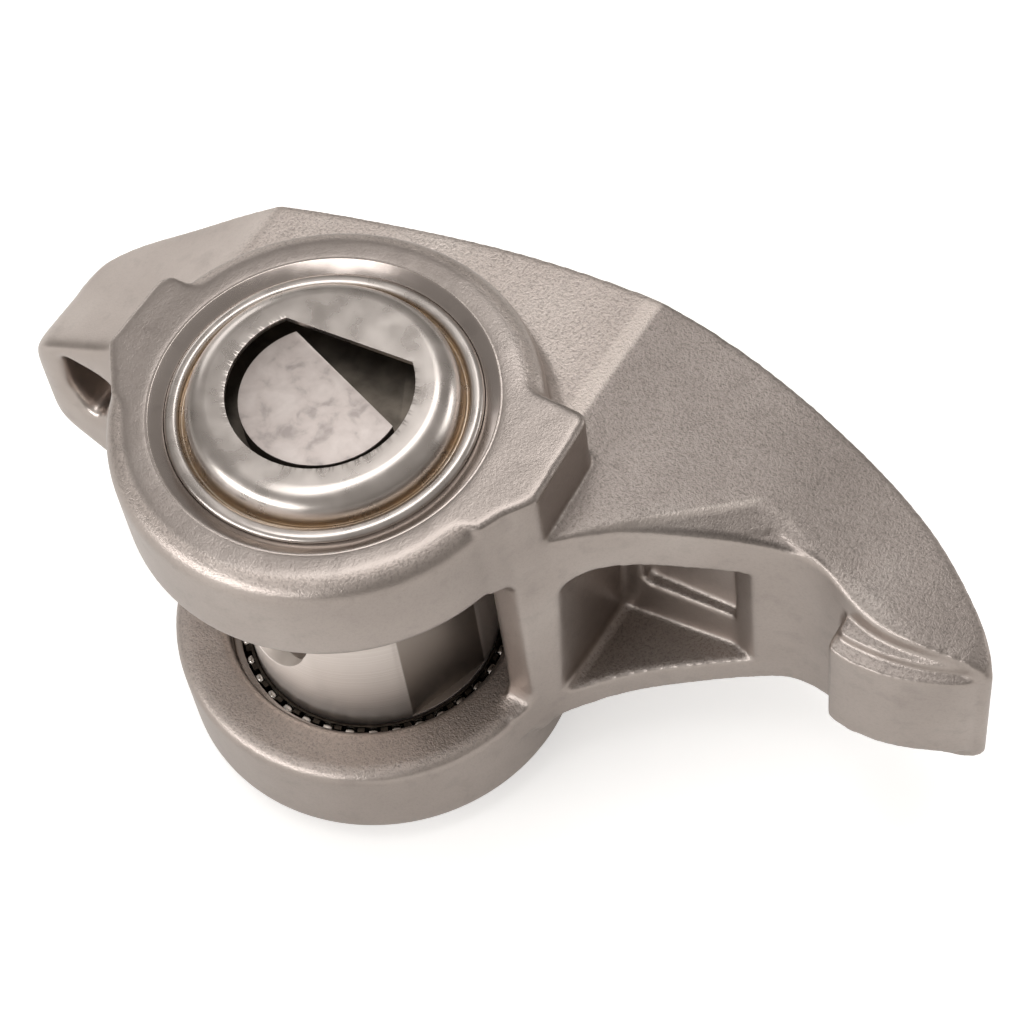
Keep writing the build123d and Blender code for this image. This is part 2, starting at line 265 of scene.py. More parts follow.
def front_ridge(lever):
    """Raises the low ridge on the arm's upper face."""
    group = lever.vertex_groups.new(name="front_ridge")
    low = FRONT_RIDGE[0][0] - RIDGE_RUN
    for vertex in lever.data.vertices:
        x, y, z = (value / MM for value in vertex.co)
        top = PLATE_LEVEL - PLATE_FALL * max(0.0, x - PLATE_CREASE)
        if x < low or not -FACE_BELOW < z - top < FACE_ABOVE:
            continue
        point = Vector((x, y))
        from_ridge = distance_to(FRONT_RIDGE, point)
        if crosses_under(FRONT_RIDGE, point):
            from_edge = distance_to(FRONT_EDGE, point)
            share = from_edge / max(from_edge + from_ridge, 0.01)
        else:
            share = 1 - from_ridge / RIDGE_RUN
        near = (x - FRONT_RIDGE[0][0]) / RIDGE_NEAR_RUN
        far = (FRONT_RIDGE[-1][0] - x) / RIDGE_FAR_RUN
        share *= min(1.0, max(0.0, near), max(0.0, far))
        if share > 0:
            group.add([vertex.index], share, "REPLACE")
    return apply_modifier(
        lever, "DISPLACE", direction="Z", mid_level=0.0, strength=RIDGE_HEIGHT * MM,
        vertex_group=group.name,
    )


def softened_end(lever, name, start, run, rounds, back=None):
    """Smooths the lug beyond x = start, fully after this run, and only before y = back if it is given."""
    group = lever.vertex_groups.new(name=name)
    for vertex in lever.data.vertices:
        share = (start * MM - vertex.co.x) / (run * MM)
        if share > 0 and (back is None or vertex.co.y < back * MM):
            group.add([vertex.index], min(share, 1.0), "REPLACE")
    return apply_modifier(lever, "SMOOTH", factor=0.5, iterations=rounds, vertex_group=group.name)


def forged_lever():
    """The forging: the solid and its two rounded rings grown into one skin with soft edges."""
    lever = cad_copy("lever_arm", "forged_lever")
    skins = [ring_skin("upper_skin", 1, UPPER_RING_EDGE), ring_skin("lower_skin", -1, LOWER_RING_EDGE)]
    active(lever)
    for skin in skins:
        skin.select_set(True)
    bpy.ops.object.join()
    apply_modifier(lever, "REMESH", mode="VOXEL", voxel_size=SKIN_CELL * MM, adaptivity=0.0)
    apply_modifier(lever, "SMOOTH", factor=0.5, iterations=SKIN_ROUNDS)
    softened_end(lever, "worn_lug", LUG_SOFT_FROM, LUG_SOFT_RUN, LUG_ROUNDS)
    softened_end(lever, "lug_scoop", SCOOP_FROM, SCOOP_RUN, SCOOP_ROUNDS, SCOOP_BACK)
    front_ridge(lever)
    apply_modifier(lever, "SMOOTH", factor=0.5, iterations=LAST_ROUNDS)
    kept = min(1.0, MOST_TRIANGLES / (2 * len(lever.data.polygons)))
    apply_modifier(lever, "DECIMATE", decimate_type="COLLAPSE", ratio=kept)
    return smooth_shaded(lever, 60)


# The lip stands this far proud of the skin, and reaches this far down and outwards under it
LIP_PROUD, LIP_DEPTH, LIP_REACH = 0.02, 3.0, 0.4


def bore_lip(name, side):
    """The turned chamfer at the mouth of a bore, with the crisp edges that the grown skin has lost."""
    inside, outside = BORE_RADIUS + LIP_PROUD, BORE_RADIUS + BORE_CHAMFER_WIDTH
    corners = [
        (inside, RING_FACE - LIP_DEPTH, 0), (outside + LIP_REACH, RING_FACE - LIP_DEPTH, 0),
        (outside + LIP_REACH, RING_FACE + LIP_PROUD, 0.05), (outside, RING_FACE + LIP_PROUD, 0.25),
        (inside, RING_FACE - BORE_CHAMFER_HEIGHT, 0.15),
    ]
    return smooth_shaded(turned(name, [(r, side * z) for r, z in rounded(corners, 3)], 192), 30)


# The cup's sheet: heights of its bead and groove outside and inside, its bore, and its turned-in lip
BEAD_TOP, GROOVE_FLOOR, BEAD_INSIDE, GROOVE_INSIDE = 41.2, 39.75, 40.24, 38.94
CUP_RADIUS, CUP_BORE, CUP_LIP_RADIUS, CUP_LIP_HEIGHT = BORE_RADIUS - 0.02, 25.04, 24.57, 0.8
# Hole in the middle of the turned profile, inside the window, and the break of the window's edge
CUP_HOLE, WINDOW_BREAK = 3.0, 0.14


def drawn_cup():
    """The closed-end bearing cup, drawn from one sheet, with its bead, groove and crown."""
    low, face = CUP_FACE - CUP_LENGTH, CUP_FACE
    corners = [
        (CUP_HOLE, face, 0), (16.6, face, 0), (21.6, face, 4.0), (22.75, GROOVE_FLOOR, 0.5),
        (23.3, GROOVE_FLOOR, 0.3), (23.5, BEAD_TOP, 1.0), (CUP_RADIUS, BEAD_TOP, 1.2),
        (CUP_RADIUS, low, 0.3), (CUP_LIP_RADIUS, low, 0.2), (CUP_LIP_RADIUS, low + CUP_LIP_HEIGHT, 0.1),
        (CUP_BORE, low + CUP_LIP_HEIGHT, 0), (CUP_BORE, BEAD_INSIDE, 0.4), (24.25, BEAD_INSIDE, 0.3),
        (23.6, GROOVE_INSIDE, 0.5), (21.9, GROOVE_INSIDE, 0.5), (20.8, face - CUP_WALL, 3.0),
        (CUP_HOLE, face - CUP_WALL, 0),
    ]
    cup = turned("upper_cup", rounded(corners, 6), 192)
    window = d_window("window_punch")
    apply_modifier(cup, "BOOLEAN", operation="DIFFERENCE", object=window, solver="EXACT")
    bpy.data.objects.remove(window)
    break_edges(cup, WINDOW_BREAK, 60)
    smooth_shaded(cup, 40)
    return apply_modifier(cup, "WEIGHTED_NORMAL", mode="FACE_AREA", weight=90, keep_sharp=True)


# Height of the punch, and its number of sides
PUNCH_HEIGHT, PUNCH_SIDES = 6.0, 144


def d_window(name):
    """A D-shaped punch through the cup's closed end."""
    nothing_selected()
    bpy.ops.mesh.primitive_cylinder_add(
        vertices=PUNCH_SIDES, radius=WINDOW_RADIUS * MM, depth=PUNCH_HEIGHT * MM,
        location=(0, 0, CUP_FACE * MM),
    )
    punch = settled(named(name))
    out = Vector((cos(radians(WINDOW_ANGLE)), sin(radians(WINDOW_ANGLE)), 0))
    bpy.ops.object.mode_set(mode="EDIT")
    bpy.ops.mesh.select_all(action="SELECT")
    chord = out * WINDOW_CHORD * MM
    bpy.ops.mesh.bisect(plane_co=chord, plane_no=out, clear_outer=True, use_fill=True)
    bpy.ops.mesh.select_all(action="DESELECT")
    bpy.ops.object.mode_set(mode="OBJECT")
    for edge in punch.data.edges:
        a, b = (punch.data.vertices[i].co for i in edge.vertices)
        upright = abs(a.z - b.z) > PUNCH_HEIGHT / 2 * MM
        edge.select = upright and abs(a.dot(out) - WINDOW_CHORD * MM) < 0.01 * MM
    bpy.ops.object.mode_set(mode="EDIT")
    bpy.ops.mesh.select_mode(type="EDGE")
    bpy.ops.mesh.bevel(offset=WINDOW_CORNER * MM, segments=6, affect="EDGES")
    bpy.ops.object.mode_set(mode="OBJECT")
    return faces_outward(punch)


# How far the roller's ends are domed, and its number of sides
NEEDLE_DOME, NEEDLE_SIDES = 0.85, 18


def needle_roller():
    """One needle roller with slightly domed ends, standing at the origin."""
    nothing_selected()
    bpy.ops.mesh.primitive_cylinder_add(
        vertices=NEEDLE_SIDES, radius=NEEDLE_RADIUS * MM, depth=(NEEDLE_HIGH - NEEDLE_LOW) * MM,
        location=(0, 0, NEEDLE_MIDDLE * MM),
    )
    roller = settled(named("needle_roller"))
    # Only the two caps are selected, so that the bevel leaves the long sides alone
    for polygon in roller.data.polygons:
        polygon.select = abs(polygon.normal.z) > 0.9
    for edge in roller.data.edges:
        a, b = (roller.data.vertices[i].co.z for i in edge.vertices)
        edge.select = abs(a - b) < 0.1 * MM
    bpy.ops.object.mode_set(mode="EDIT")
    bpy.ops.mesh.select_mode(type="EDGE")
    bpy.ops.mesh.bevel(offset=NEEDLE_DOME * MM, segments=4, affect="EDGES")
    bpy.ops.object.mode_set(mode="OBJECT")
    return smooth_shaded(roller, 50)


def roller_copy(roller, name, number, side):
    """A copy of the roller in its place round the shaft."""
    angle = radians(NEEDLE_PHASE + number * 360 / NEEDLE_COUNT)
    place = NEEDLE_ORBIT * cos(angle) * MM, NEEDLE_ORBIT * sin(angle) * MM, 0
    piece = roller.copy()
    piece.data = roller.data.copy()
    bpy.context.scene.collection.objects.link(piece)
    active(piece)
    named(name)
    bpy.ops.object.mode_set(mode="EDIT")
    bpy.ops.mesh.select_all(action="SELECT")
    if side < 0:
        bpy.ops.transform.resize(value=(1, 1, -1), center_override=(0, 0, 0))
        bpy.ops.mesh.normals_make_consistent(inside=False)
    bpy.ops.transform.translate(value=place)
    bpy.ops.object.mode_set(mode="OBJECT")
    return piece


# Cage of thin sheet: its rims, their gap to the rollers, and its bars between the rollers
RIM_INNER, RIM_OUTER, RIM_HEIGHT, RIM_GAP = 22.74, 23.3, 0.6, 0.1
BAR_RADIUS, BAR_DEPTH, BAR_WIDTH = 23.5, 1.2, 1.25


def needle_cage():
    """The cage of the upper bearing: two thin rims joined by a bar between each pair of rollers."""
    rims = []
    lows = {"upper_cage": NEEDLE_HIGH + RIM_GAP, "rim": NEEDLE_LOW - RIM_GAP - RIM_HEIGHT}
    for name, low in lows.items():
        corners = [
            (RIM_INNER, low, 0.1), (RIM_OUTER, low, 0.1), (RIM_OUTER, low + RIM_HEIGHT, 0.1),
            (RIM_INNER, low + RIM_HEIGHT, 0.1),
        ]
        rims.append(turned(name, rounded(corners, 2), 144))
    bars = []
    for number in range(NEEDLE_COUNT):
        angle = radians(NEEDLE_PHASE + (number + 0.5) * 360 / NEEDLE_COUNT)
        place = BAR_RADIUS * cos(angle) * MM, BAR_RADIUS * sin(angle) * MM, NEEDLE_MIDDLE * MM
        length = NEEDLE_HIGH - NEEDLE_LOW + 2 * RIM_GAP + RIM_HEIGHT
        bpy.ops.mesh.primitive_cube_add(size=1, location=place, rotation=(0, 0, angle))
        bar = bpy.context.active_object
        bar.scale = BAR_DEPTH * MM, BAR_WIDTH * MM, length * MM
        bars.append(bar)
    nothing_selected()
    for piece in (*bars, *rims):
        piece.select_set(True)
    bpy.context.view_layer.objects.active = rims[0]
    bpy.ops.object.join()
    return smooth_shaded(settled(rims[0]), 40)


# Break of the shaft's edges
SHAFT_BREAK = 0.25


def ground_shaft():
    """The shaft, with the broken edges that grinding leaves."""
    shaft = cad_copy("rocker_shaft", "ground_shaft")
    bpy.ops.object.mode_set(mode="EDIT")
    bpy.ops.mesh.select_all(action="SELECT")
    bpy.ops.mesh.dissolve_limited(angle_limit=radians(0.5))
    bpy.ops.object.mode_set(mode="OBJECT")
    break_edges(shaft, SHAFT_BREAK, 40)
    return smooth_shaded(shaft, 30)


def linear(code):
    """An sRGB hex colour as linear red, green, blue and alpha."""
    channels = [int(code[i:i + 2], 16) / 255 for i in (1, 3, 5)]
    return (*[c / 12.92 if c <= 0.04045 else ((c + 0.055) / 1.055) ** 2.4 for c in channels], 1.0)


def grey(level):
    """A plain grey as linear red, green, blue and alpha."""
    return level, level, level, 1.0


def per_mm(size):
    """Noise scale at which one feature is this many millimetres across."""
    return 1 / (size * MM)


def feed(tree, node, inputs):
    """Links or sets a node's inputs. A node given as a value is linked by its first output in use."""
    for key, value in inputs.items():
        if isinstance(value, bpy.types.Node):
            value = next(output for output in value.outputs if output.enabled)
        if isinstance(value, bpy.types.NodeSocket):
            tree.links.new(value, node.inputs[key])
        else:
            node.inputs[key].default_value = value


def add(tree, kind, inputs=None, stops=(), **settings):
    """Adds a node with its settings and its inputs, and for a colour ramp its stops, as hex or grey."""
    node = tree.nodes.new("ShaderNode" + kind)
    for key, value in settings.items():
        setattr(node, key, value)
    feed(tree, node, inputs or {})
    for index, (position, colour) in enumerate(stops):
        elements = node.color_ramp.elements
        element = elements[index] if index < len(elements) else elements.new(position)
        element.position = position
        element.color = linear(colour) if isinstance(colour, str) else grey(colour)
    return node


def new_material(name):
    """A node material with its surface shader, its tree and its object coordinates."""
    material = bpy.data.materials.new(name)
    material.use_nodes = True
    tree = material.node_tree
    surface = tree.nodes["Principled BSDF"]
    coordinates = add(tree, "TexCoord")
    return material, tree, surface, coordinates


def whereabouts(tree, place):
    """A point's x, y and z, its distance from the shaft's axis and its distance from the middle plane."""
    parts = add(tree, "SeparateXYZ", {"Vector": place})
    along, back, height = (parts.outputs[axis] for axis in "XYZ")
    flat = add(tree, "CombineXYZ", {"X": along, "Y": back})
    radius = add(tree, "VectorMath", {0: flat}, operation="LENGTH")
    level = add(tree, "Math", {0: height}, operation="ABSOLUTE")
    return along, back, height, radius, level


def zone(tree, *limits, share=None):
    """A zone with soft limits, each one a value and the millimetres where it is all out and all in."""
    for value, (out, within) in limits:
        limit = add(tree, "MapRange", {"Value": value, "From Min": out * MM, "From Max": within * MM})
        share = add(tree, "Math", {0: share, 1: limit}, operation="MULTIPLY") if share else limit
    return share


def distance_from(tree, value, middle):
    """How far a value lies from this middle in mm, to either side."""
    gap = add(tree, "Math", {0: value, 1: middle * MM}, operation="SUBTRACT")
    return add(tree, "Math", {0: gap}, operation="ABSOLUTE")


# Zones of the forging's finish and of its painted light and shade, each as the millimetres where it is all
# out and all in
CHAMFER_RADII, CHAMFER_LEVELS, MILLED_LEVELS = (28.7, 28.5), (40.1, 40.3), (41.2, 41.4)
LUG_PLACES, LUG_LEVELS, OUTER_ARM = (-35.0, -39.0), (40.8, 40.2), (PLATE_CREASE, PLATE_CREASE + 1)
BAND_WIDTHS, BAND_FLOOR, BAND_ROOF = (1.9, 1.1), (28.0, 29.0), (31.0, 30.4)
CREST_WIDTHS, CREST_START, CREST_END, CREST_HEIGHTS = (0.9, 0.4), (40.5, 43.0), (65.5, 63.5), (20.0, 22.0)
GUTTER_FRONT, GUTTER_BACK, GUTTER_HEIGHTS = (-1.0, 0.2), (1.6, 0.8), (17.5, 19.0)
GUTTER_START, GUTTER_END = (41.0, 46.0), (80.0, 77.0)


def forged_relief(tree, place, strength):
    """Grit of the shot, about half a millimetre across, on a slow swell of the forged skin."""
    coarse = {"Vector": place, "Scale": per_mm(0.55), "Detail": 2, "Roughness": 0.6}
    coarse = add(tree, "TexNoise", coarse)
    fine = add(tree, "TexNoise", {"Vector": place, "Scale": per_mm(0.3), "Detail": 1})
    grit = add(tree, "Mix", {0: 0.4, 2: coarse, 3: fine})
    swell = add(tree, "TexNoise", {"Vector": place, "Scale": per_mm(9), "Detail": 2})
    skin = add(tree, "Bump", {"Height": swell, "Strength": 0.2, "Distance": 0.8 * MM})
    relief = {"Height": grit, "Strength": strength, "Distance": 0.17 * MM, "Normal": skin}
    return grit, add(tree, "Bump", relief)


def forged_colour(tree, place, grit, strength, shade):
    """Colour that drifts slowly over the forging, darker in the pits and in faint stains, multiplied by
    the painted light and shade.
    """
    drift = add(tree, "TexNoise", {"Vector": place, "Scale": per_mm(26), "Detail": 3})
    stain = add(tree, "TexNoise", {"Vector": place, "Scale": per_mm(3.5), "Detail": 4})
    body_stops = [(0.3, "#b5aaa3"), (0.55, "#c0b5ae"), (0.75, "#cac0b9")]
    colour = add(tree, "ValToRGB", {"Fac": drift}, body_stops)
    pits = add(tree, "ValToRGB", {"Fac": grit}, [(0.36, 0.68), (0.5, 0.93), (0.62, 1.0)])
    stains = add(tree, "ValToRGB", {"Fac": stain}, [(0.30, 0.84), (0.45, 1.0)])
    for share, layer in ((strength, pits), (0.5, stains), (1.0, shade)):
        layers = {0: share, 6: colour, 7: layer}
        colour = add(tree, "Mix", layers, data_type="RGBA", blend_type="MULTIPLY")
    return colour


def painted_light_and_shade(tree, outward, facing, boss_face, chamfer):
    """Painted light and shade: the arm before its crease painted lighter and past it darker, and the
    sheared walls, milled boss faces and chamfer painted darker than the rest of the skin.
    """
    shade = add(tree, "Mix", {0: outward, 6: grey(1.1), 7: grey(0.76)}, data_type="RGBA")
    shade = add(tree, "Mix", {0: facing, 6: grey(0.84), 7: shade}, data_type="RGBA")
    shade = add(tree, "Mix", {0: boss_face, 6: shade, 7: grey(0.73)}, data_type="RGBA")
    return add(tree, "Mix", {0: chamfer, 6: shade, 7: grey(0.78)}, data_type="RGBA")


def worn_and_highlighted_edges(tree, place, along, height, level, outward, facing):
    """Edge brightness, partly real wear and partly painted highlight: well on the boss, hardly on the
    outer arm.

    A painted highlight band along the crease and a painted highlight along the crest of the low ridge are
    added too.
    """
    edge = add(tree, "Bevel", {"Radius": 0.9 * MM}, samples=4)
    true_normal = add(tree, "NewGeometry").outputs["Normal"]
    turn = add(tree, "VectorMath", {0: edge, 1: true_normal}, operation="DOT_PRODUCT")
    edge_wear_and_highlight = add(tree, "MapRange", {"Value": turn, "From Min": 0.995, "From Max": 0.9})
    arm_wear_and_highlight = add(tree, "MapRange", {"Value": outward, "To Min": 0.5, "To Max": 0.12})
    wear_and_highlight = add(tree, "Math", {0: edge_wear_and_highlight, 1: arm_wear_and_highlight}, operation="MULTIPLY")
    from_band = distance_from(tree, along, CREASE_BAND)
    levels = (level, BAND_FLOOR), (level, BAND_ROOF)
    band = zone(tree, (from_band, BAND_WIDTHS), *levels, share=facing)
    outwards = add(tree, "VectorMath", {0: place, 1: CREST_SIDE}, operation="DOT_PRODUCT")
    from_crest = distance_from(tree, outwards, CREST_OUT)
    ends = (along, CREST_START), (along, CREST_END), (height, CREST_HEIGHTS)
    crest = zone(tree, (from_crest, CREST_WIDTHS), *ends, share=facing)
    # Painted highlights along the crease and along the ridge's crest
    for line, brightness in ((band, 0.5), (crest, 0.45)):
        bright = add(tree, "Math", {0: line, 1: brightness}, operation="MULTIPLY")
        wear_and_highlight = add(tree, "Math", {0: wear_and_highlight, 1: bright}, operation="MAXIMUM")
    return wear_and_highlight


def painted_gutter_shadow(tree, along, back, height, facing):
    """Painted shadow: the dark line just behind the upper front edge of the arm."""
    reach = distance_from(tree, along, GUTTER_TOP[0])
    reach = add(tree, "Math", {0: reach, 1: 1 / MM}, operation="MULTIPLY")
    fall = add(tree, "Math", {0: reach, 1: GUTTER_POWER}, operation="POWER")
    behind = add(tree, "Math", {0: fall, 1: GUTTER_FALL * MM, 2: back}, operation="MULTIPLY_ADD")
    behind = add(tree, "Math", {0: behind, 1: GUTTER_TOP[1] * MM}, operation="SUBTRACT")
    sides = (behind, GUTTER_FRONT), (behind, GUTTER_BACK)
    ends = (along, GUTTER_START), (along, GUTTER_END), (height, GUTTER_HEIGHTS)
    return zone(tree, *sides, *ends, share=facing)


def blasted_forging():
    """Shot-blasted forged steel: gritty where it faces the blast, smoother on the sheared walls."""
    material, tree, surface, coordinates = new_material("blasted_forging")
    place = coordinates.outputs["Object"]
    along, back, height, radius, level = whereabouts(tree, place)
    # How much a face looks up or down: sheared walls don't, and took little of the blast
    normal = add(tree, "SeparateXYZ", {"Vector": coordinates.outputs["Normal"]})
    upward = add(tree, "Math", {0: normal.outputs["Z"]}, operation="ABSOLUTE")
    facing = add(tree, "MapRange", {"Value": upward, "From Min": 0.45, "From Max": 0.9})
    blasted = add(tree, "MapRange", {"Value": facing, "To Min": 0.25, "To Max": 1.0})
    # The bore's chamfer is turned bright, the boss faces are milled, and the lug is worn smooth
    chamfer = zone(tree, (radius, CHAMFER_RADII), (level, CHAMFER_LEVELS))
    milled = zone(tree, (level, MILLED_LEVELS))
    lug = zone(tree, (along, LUG_PLACES), (level, LUG_LEVELS))
    milled_smooth = add(tree, "Math", {0: milled, 1: 0.72}, operation="MULTIPLY")
    lug_smooth = add(tree, "Math", {0: lug, 1: 0.8}, operation="MULTIPLY")
    smooth = add(tree, "Math", {0: milled_smooth, 1: lug_smooth}, operation="MAXIMUM")
    strength = add(tree, "Mix", {0: smooth, 2: blasted, 3: 0.0})
    strength = add(tree, "Mix", {0: chamfer, 2: strength, 3: 0.0})
    grit, bump = forged_relief(tree, place, strength)
    # The arm past its crease, painted darker, with its edges painted less bright
    outward = zone(tree, (along, OUTER_ARM))
    boss_face = zone(tree, (level, MILLED_LEVELS), share=facing)
    # Painted light and shade, multiplied into the forging's colour
    shade = painted_light_and_shade(tree, outward, facing, boss_face, chamfer)
    colour = forged_colour(tree, place, grit, strength, shade)
    wear_and_highlight = worn_and_highlighted_edges(tree, place, along, height, level, outward, facing)
    # Pale colour of the worn edges and of the painted highlights
    colour = add(tree, "Mix", {0: wear_and_highlight, 6: colour, 7: linear("#d6cbc3")}, data_type="RGBA")
    # Painted shadow along the front edge, in a dark colour
    gutter_shadow = painted_gutter_shadow(tree, along, back, height, facing)
    shadow_strength = add(tree, "Math", {0: gutter_shadow, 1: 0.7}, operation="MULTIPLY")
    colour = add(tree, "Mix", {0: shadow_strength, 6: colour, 7: linear("#4a443f")}, data_type="RGBA")
    roughness = add(tree, "MapRange", {"Value": strength, "To Min": 0.29, "To Max": 0.52})
    roughness = add(tree, "Math", {0: chamfer, 1: -0.08, 2: roughness}, operation="MULTIPLY_ADD")
    feed(tree, surface, {"Base Color": colour, "Roughness": roughness, "Normal": bump, "Metallic": 1.0})
    return material


# Groove of the cup, as the millimetres where its film is all out and all in
GROOVE_NEAR, GROOVE_FAR = (22.1, 22.6), (23.9, 23.4)


def drawn_sheet():
    """Bright deep-drawn sheet steel: fine rings from the tool, and a straw-coloured film in the groove."""
    material, tree, surface, coordinates = new_material("drawn_sheet")
    place = coordinates.outputs["Object"]
    _, _, _, radius, level = whereabouts(tree, place)
    # The rings are drawn coarser than real ones, which the picture couldn't show
    profile = add(tree, "CombineXYZ", {"X": radius, "Y": level})
    rings = add(tree, "TexNoise", {"Vector": profile, "Scale": per_mm(0.35), "Detail": 2})
    smear = add(tree, "TexNoise", {"Vector": place, "Scale": per_mm(5), "Detail": 2})
    speck = add(tree, "TexNoise", {"Vector": place, "Scale": per_mm(0.6), "Detail": 3})
    clean = add(tree, "ValToRGB", {"Fac": smear}, [(0.25, "#b6aea8"), (0.75, "#c8c0ba")])
    specks = add(tree, "ValToRGB", {"Fac": speck}, [(0.22, 0.93), (0.36, 1.0)])
    clean = add(tree, "Mix", {0: 1.0, 6: clean, 7: specks}, data_type="RGBA", blend_type="MULTIPLY")
    groove = zone(tree, (radius, GROOVE_NEAR), (radius, GROOVE_FAR))
    film = add(tree, "Math", {0: groove, 1: smear}, operation="MULTIPLY")
    colour = add(tree, "Mix", {0: film, 6: clean, 7: linear("#b9a283")}, data_type="RGBA")
    roughness = add(tree, "ValToRGB", {"Fac": smear}, [(0.3, 0.24), (0.7, 0.35)])
    bump = add(tree, "Bump", {"Height": rings, "Strength": 0.12, "Distance": 0.05 * MM})
    feed(tree, surface, {"Base Color": colour, "Roughness": roughness, "Normal": bump, "Metallic": 1.0})
    return material


# Zones of the shaft's finish, each as the millimetres where it is all out and all in
FLAT_RADII, FLAT_LEVELS, UNDER_CUP_LEVELS, END_LEVELS = (22.45, 22.35), (37.0, 36.5), (37.9, 38.2), (43.0, 43.2)


def ground_steel():
    """Ground shaft steel: satin on its round, darker under the cups, mottled pale grey on its ends."""
    material, tree, surface, coordinates = new_material("ground_steel")
    place = coordinates.outputs["Object"]
    _, _, _, radius, level = whereabouts(tree, place)
    flat = zone(tree, (radius, FLAT_RADII), (level, FLAT_LEVELS))
    under_cup = zone(tree, (level, UNDER_CUP_LEVELS))
    end = zone(tree, (level, END_LEVELS))
    # The grinding lines are drawn coarser than real ones, which the picture couldn't show
    wheel_path = add(tree, "CombineXYZ", {"Z": level})
    lines = add(tree, "TexNoise", {"Vector": wheel_path, "Scale": per_mm(0.3), "Detail": 3})
    mottle = {"Vector": place, "Scale": per_mm(3.2), "Detail": 5, "Distortion": 0.3}
    mottle = add(tree, "TexNoise", mottle)
    side_tint = add(tree, "ValToRGB", {"Fac": lines}, [(0.35, "#e6ddd6"), (0.65, "#f2ebe6")])
    under_cup_tint = add(tree, "ValToRGB", {"Fac": mottle}, [(0.3, "#665f57"), (0.7, "#857c72")])
    end_stops = [(0.32, "#aaa19d"), (0.46, "#c4bab5"), (0.7, "#d0c7c2")]
    end_tint = add(tree, "ValToRGB", {"Fac": mottle}, end_stops)
    colour = side_tint
    for share, tint in ((flat, linear("#b4aaa2")), (under_cup, under_cup_tint), (end, end_tint)):
        colour = add(tree, "Mix", {0: share, 6: colour, 7: tint}, data_type="RGBA")
    roughness = add(tree, "Math", {0: flat, 1: -0.14, 2: 0.58}, operation="MULTIPLY_ADD")
    bump = add(tree, "Bump", {"Height": lines, "Strength": 0.1, "Distance": 0.05 * MM})
    feed(tree, surface, {"Base Color": colour, "Roughness": roughness, "Normal": bump, "Metallic": 1.0})
    return material


def oiled_steel(name, dark, light, rough):
    """Oiled bearing steel with a faint change of shade from one spot to the next."""
    material, tree, surface, coordinates = new_material(name)
    place = coordinates.outputs["Object"]
    spots = add(tree, "TexNoise", {"Vector": place, "Scale": per_mm(1.5), "Detail": 3})
    colour = add(tree, "ValToRGB", {"Fac": spots}, [(0.35, dark), (0.65, light)])
    roughness = add(tree, "ValToRGB", {"Fac": spots}, [(0.3, rough), (0.7, rough + 0.1)])
    feed(tree, surface, {"Base Color": colour, "Roughness": roughness, "Metallic": 1.0})
    return material


def finished(piece, material, body, slot, *nodes):
    """Gives a new piece its finish, its body and the solids that it stands for."""
    piece.data.materials.clear()
    piece.data.materials.append(material)
    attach(piece, body)
    if nodes:
        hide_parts(*nodes)


# The floor's size in metres, the glow that makes it white to the camera, and that in reflections
FLOOR_SIZE, FLOOR_LIFT, FLOOR_GLOSSY_LIFT = 6, 0.46, 0.08


def pale_floor(level):
    """A plain white floor that keeps the object's shadow."""
    nothing_selected()
    bpy.ops.mesh.primitive_plane_add(size=FLOOR_SIZE, location=(0, 0, level))
    floor = settled(named("floor"))
    material = bpy.data.materials.new("pale_floor")
    material.use_nodes = True
    tree = material.node_tree
    surface = tree.nodes["Principled BSDF"]
    feed(tree, surface, {"Base Color": linear("#f4f3f1"), "Roughness": 0.9, "Specular IOR Level": 0.1})
    path = add(tree, "LightPath")
    seen, glossy = path.outputs["Is Camera Ray"], path.outputs["Is Glossy Ray"]
    lift = add(tree, "Math", {0: seen, 1: FLOOR_LIFT}, operation="MULTIPLY")
    lift = add(tree, "Math", {0: glossy, 1: FLOOR_GLOSSY_LIFT, 2: lift}, operation="MULTIPLY_ADD")
    feed(tree, surface, {"Emission Color": grey(1.0), "Emission Strength": lift})
    floor.data.materials.append(material)


def studio():
    """A white world for the camera, a soft graded sky for reflections, and four soft lamps."""
    world = bpy.data.worlds.new("studio")
    bpy.context.scene.world = world
    world.use_nodes = True
    tree = world.node_tree
    tree.nodes.clear()
    path = add(tree, "LightPath")
    where = add(tree, "TexCoord")
    height = add(tree, "SeparateXYZ", {"Vector": where.outputs["Generated"]}).outputs["Z"]
    shades = [(0.0, "#77746f"), (0.35, "#a5a29f"), (0.7, "#b0adaa"), (1.0, "#aeaba8")]
    sky = add(tree, "ValToRGB", {"Fac": height}, shades)
    soft = add(tree, "Background", {"Color": sky, "Strength": 1.0})
    white = add(tree, "Background", {"Color": grey(1.0), "Strength": 1.0})
    shader = add(tree, "MixShader", {0: path.outputs["Is Camera Ray"], 1: soft, 2: white})
    add(tree, "OutputWorld", {"Surface": shader})
    # Each lamp: place and size in metres, and watts
    lamps = {
        "overhead": ((-0.10, 0.11, 0.90), (0.31, 1.05), 3.7),
        "front_left": ((-0.28, -0.90, 0.33), (1.10, 0.24), 5.6),
        "back_right": ((0.62, 0.75, 0.22), (0.45, 0.30), 1.4),
        "left": ((-0.86, 0.42, 0.30), (0.40, 0.40), 0.9),
    }
    for name, (place, (width, depth), watts) in lamps.items():
        light = bpy.data.lights.new(name, "AREA")
        light.shape = "RECTANGLE"
        light.size, light.size_y = width, depth
        light.energy = watts
        lamp = bpy.data.objects.new(name, light)
        # Its width lies level, or along X for the one overhead
        back = Vector(place).normalized()
        across = Vector((1, 0, 0)) if back.z > 0.9 else Vector((0, 0, 1)).cross(back)
        across = (across - back * across.dot(back)).normalized()
        turn = Matrix((across, back.cross(across), back)).transposed()
        lamp.matrix_world = Matrix.Translation(place) @ turn.to_4x4()
        bpy.context.scene.collection.objects.link(lamp)


